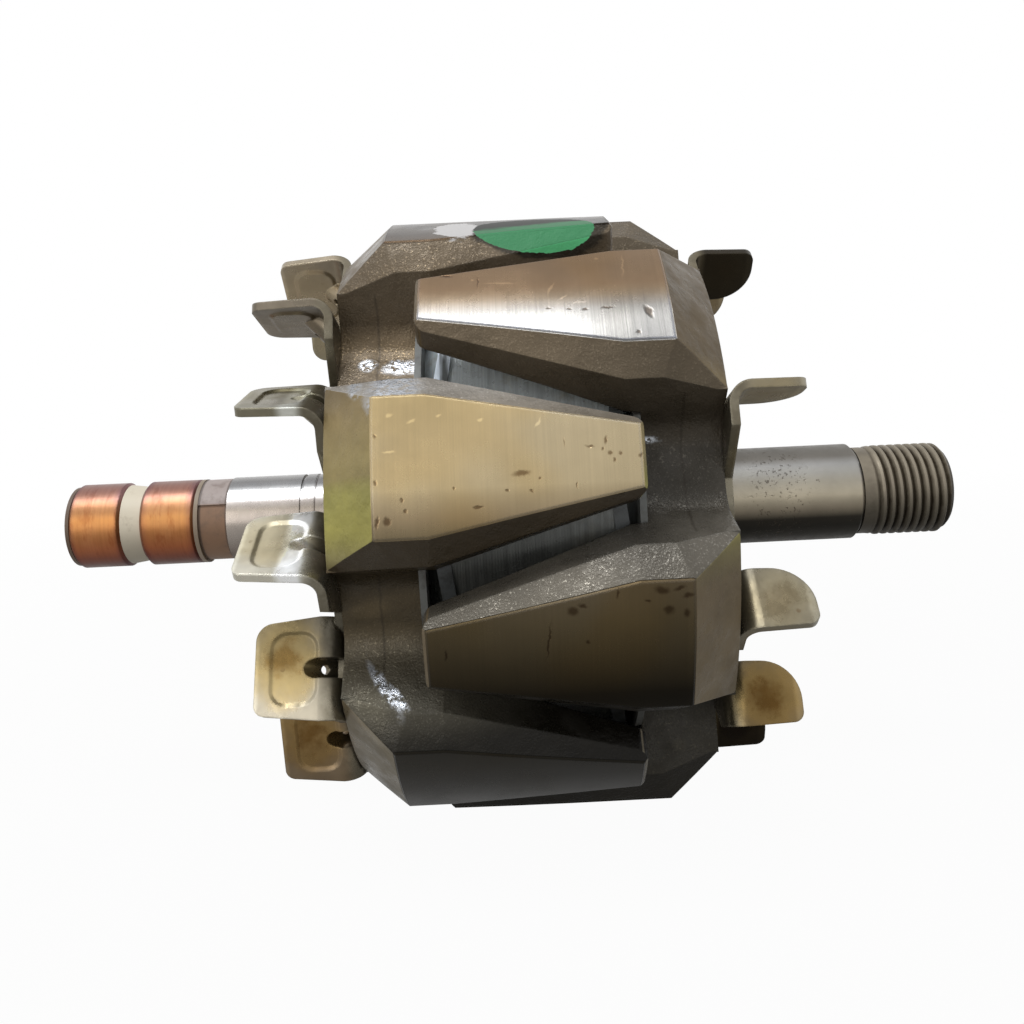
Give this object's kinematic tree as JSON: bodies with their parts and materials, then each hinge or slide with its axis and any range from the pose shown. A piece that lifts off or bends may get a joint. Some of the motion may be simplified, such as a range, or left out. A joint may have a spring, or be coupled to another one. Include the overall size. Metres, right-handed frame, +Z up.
{
  "type": "alternator rotor",
  "caption": "Claw-pole rotor of a vehicle alternator: two interlocking forged poles round a field coil, a bladed fan at each end, copper slip rings and a threaded drive shaft.",
  "frame": {"origin": "on the shaft's axis at the front shoulder, where the front bearing's seat starts", "axes": "+X along the shaft towards the threaded drive end, +Z up, -Y towards the viewer of the picture"},
  "size_m": [0.1543, 0.1008, 0.1008],
  "materials": {
    "pole_steel": "forged, turned on the outside, varnished and stained",
    "shaft_steel": "ground, lightly rusted",
    "fan_steel": "plated sheet, dulled and yellowed",
    "core_iron": "turned",
    "ring_copper": "satin, tarnished by the brushes",
    "lead_copper": "bare",
    "carrier_plastic": "moulded, cream",
    "collar_plastic": "moulded, brown",
    "bobbin_plastic": "moulded, grey",
    "winding_varnish": "varnished winding",
    "tape_weave": "varnished tape",
    "sleeve_plastic": "woven sleeve"
  },
  "bodies": {
    "root": {"shaft": "shaft_steel", "rear_claw_pole": "pole_steel", "front_claw_pole": "pole_steel", "pole_core": "core_iron", "coil_bobbin": "bobbin_plastic", "field_winding": "winding_varnish", "rear_coil_tape": "tape_weave", "front_coil_tape": "tape_weave", "slip_ring_outer": "ring_copper", "slip_ring_inner": "ring_copper", "slip_ring_carrier": "carrier_plastic", "lead_bar_outer": "lead_copper", "lead_bar_inner": "lead_copper", "lead_collar": "collar_plastic", "lead_wire_outer": "lead_copper", "lead_wire_inner": "lead_copper", "lead_sleeve_outer": "sleeve_plastic", "lead_sleeve_inner": "sleeve_plastic", "rear_fan": "fan_steel", "front_fan": "fan_steel"}
  },
  "joints": []
}
